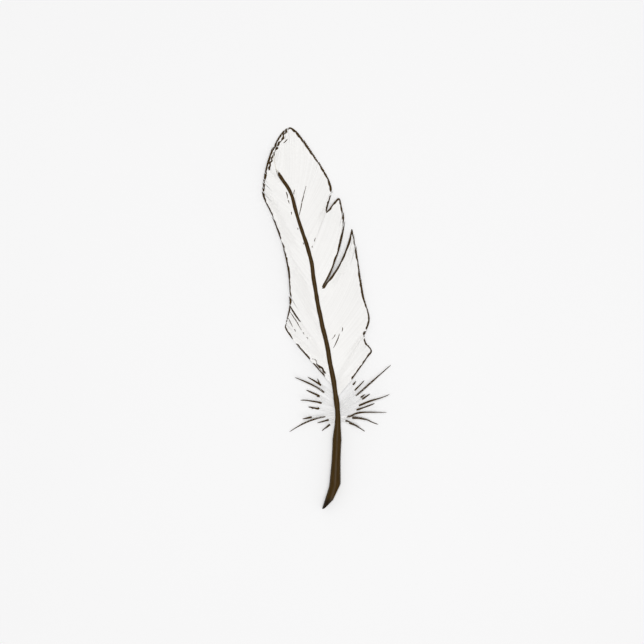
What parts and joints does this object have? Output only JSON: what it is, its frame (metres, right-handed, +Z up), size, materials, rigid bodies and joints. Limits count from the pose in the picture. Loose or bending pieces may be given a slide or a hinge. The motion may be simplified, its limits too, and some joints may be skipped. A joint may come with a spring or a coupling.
{
  "type": "quill pen",
  "caption": "Feather quill pen with a hollow barrel, a slit pen point, a pith-filled shaft, a vane split into flexing pieces and loose down at its base.",
  "frame": {"origin": "on the table, under the middle of the lying pen's footprint", "axes": "+Z up off the table, +Y from the nib to the top of the vane, +X to the right with the smooth side of the shaft up"},
  "size_m": [0.0845, 0.2507, 0.0125],
  "materials": {
    "barrel_horn": "dark brown horn, scraped and cured to a soft gloss",
    "shaft_horn": "dark brown horn, satin, faint lengthwise grain",
    "pale_horn": "thin pale horn, satin",
    "pith": "dry spongy white pith, matte",
    "membrane": "dried papery membrane, translucent",
    "vane_web": "off-white zipped barbs with dark tips, silky",
    "down": "loose downy barbs, pale at the root and dark outside, matte"
  },
  "bodies": {
    "shaft": {"barrel": "barrel_horn", "membrane_cap": "membrane", "shaft_cortex": "shaft_horn", "shaft_pith": "pith", "shaft_tip": "pale_horn"},
    "upper_tine": {"upper_tine": "barrel_horn"},
    "lower_tine": {"lower_tine": "barrel_horn"},
    "left_base_vane": {"left_base_vane": "vane_web"},
    "left_middle_vane": {"left_middle_vane": "vane_web"},
    "left_tip_vane": {"left_tip_vane": "vane_web"},
    "right_base_vane": {"right_base_vane": "vane_web"},
    "right_lower_vane": {"right_lower_vane": "vane_web"},
    "right_middle_vane": {"right_middle_vane": "vane_web"},
    "right_tip_vane": {"right_tip_vane": "vane_web"},
    "left_down": {"left_down_barb_1": "down", "left_down_barb_2": "down", "left_down_barb_3": "down", "left_down_barb_4": "down", "left_down_barb_5": "down", "left_down_barb_6": "down", "left_down_barb_7": "down", "left_down_barb_8": "down", "left_down_barb_9": "down"},
    "right_down": {"right_down_barb_1": "down", "right_down_barb_2": "down", "right_down_barb_3": "down", "right_down_barb_4": "down", "right_down_barb_5": "down", "right_down_barb_6": "down", "right_down_barb_7": "down", "right_down_barb_8": "down", "right_down_barb_9": "down", "right_down_barb_10": "down", "right_down_barb_11": "down", "right_down_barb_12": "down"}
  },
  "joints": [
    {"name": "upper_tine_spread", "type": "hinge", "parent": "shaft", "child": "upper_tine", "pos_m": [0.00059, -0.11484, 0.00397], "axis": [-0.9537, 0.3003, 0.0164], "range_deg": [0, 4], "stiffness_Nm_per_rad": 0.00027},
    {"name": "lower_tine_spread", "type": "hinge", "parent": "shaft", "child": "lower_tine", "pos_m": [0.00059, -0.11484, 0.00397], "axis": [0.9537, -0.3003, -0.0164], "range_deg": [0, 4], "stiffness_Nm_per_rad": 0.00027},
    {"name": "left_base_flex", "type": "hinge", "parent": "shaft", "child": "left_base_vane", "pos_m": [0.00306, -0.03365, 0.00787], "axis": [-0.176, 0.9841, 0.0233], "range_deg": [0, 25], "stiffness_Nm_per_rad": 0.0021},
    {"name": "left_middle_flex", "type": "hinge", "parent": "shaft", "child": "left_middle_vane", "pos_m": [-0.00329, -0.00116, 0.00817], "axis": [-0.1984, 0.9801, -0.0047], "range_deg": [-6, 25], "stiffness_Nm_per_rad": 0.0015},
    {"name": "left_tip_flex", "type": "hinge", "parent": "shaft", "child": "left_tip_vane", "pos_m": [-0.02169, 0.0662, 0.00588], "axis": [-0.297, 0.953, -0.0603], "range_deg": [-2, 25], "stiffness_Nm_per_rad": 0.00097},
    {"name": "right_base_flex", "type": "hinge", "parent": "shaft", "child": "right_base_vane", "pos_m": [0.00501, -0.04471, 0.00755], "axis": [0.1695, -0.985, -0.0329], "range_deg": [0, 25], "stiffness_Nm_per_rad": 0.0019},
    {"name": "right_lower_flex", "type": "hinge", "parent": "shaft", "child": "right_lower_vane", "pos_m": [-0.00151, -0.01112, 0.00818], "axis": [0.1959, -0.9806, -0.0039], "range_deg": [0, 25], "stiffness_Nm_per_rad": 0.013},
    {"name": "right_middle_flex", "type": "hinge", "parent": "shaft", "child": "right_middle_vane", "pos_m": [-0.00932, 0.02991, 0.0076], "axis": [0.1693, -0.9851, 0.0314], "range_deg": [-3, 25], "stiffness_Nm_per_rad": 0.0036},
    {"name": "right_tip_flex", "type": "hinge", "parent": "shaft", "child": "right_tip_vane", "pos_m": [-0.02358, 0.07683, 0.00515], "axis": [0.336, -0.9394, 0.0681], "range_deg": [0, 25], "stiffness_Nm_per_rad": 0.0067},
    {"name": "left_down_flex", "type": "hinge", "parent": "shaft", "child": "left_down", "pos_m": [0.0066, -0.0586, 0.00697], "axis": [-0.0764, 0.996, 0.0454], "range_deg": [0, 20], "stiffness_Nm_per_rad": 0.0001},
    {"name": "right_down_flex", "type": "hinge", "parent": "shaft", "child": "right_down", "pos_m": [0.00699, -0.06189, 0.00683], "axis": [0.0475, -0.9977, -0.0484], "range_deg": [0, 20], "stiffness_Nm_per_rad": 0.00021}
  ],
  "couplings": [
    {"joint": "lower_tine_spread", "follows": "upper_tine_spread", "ratio": 1}
  ]
}
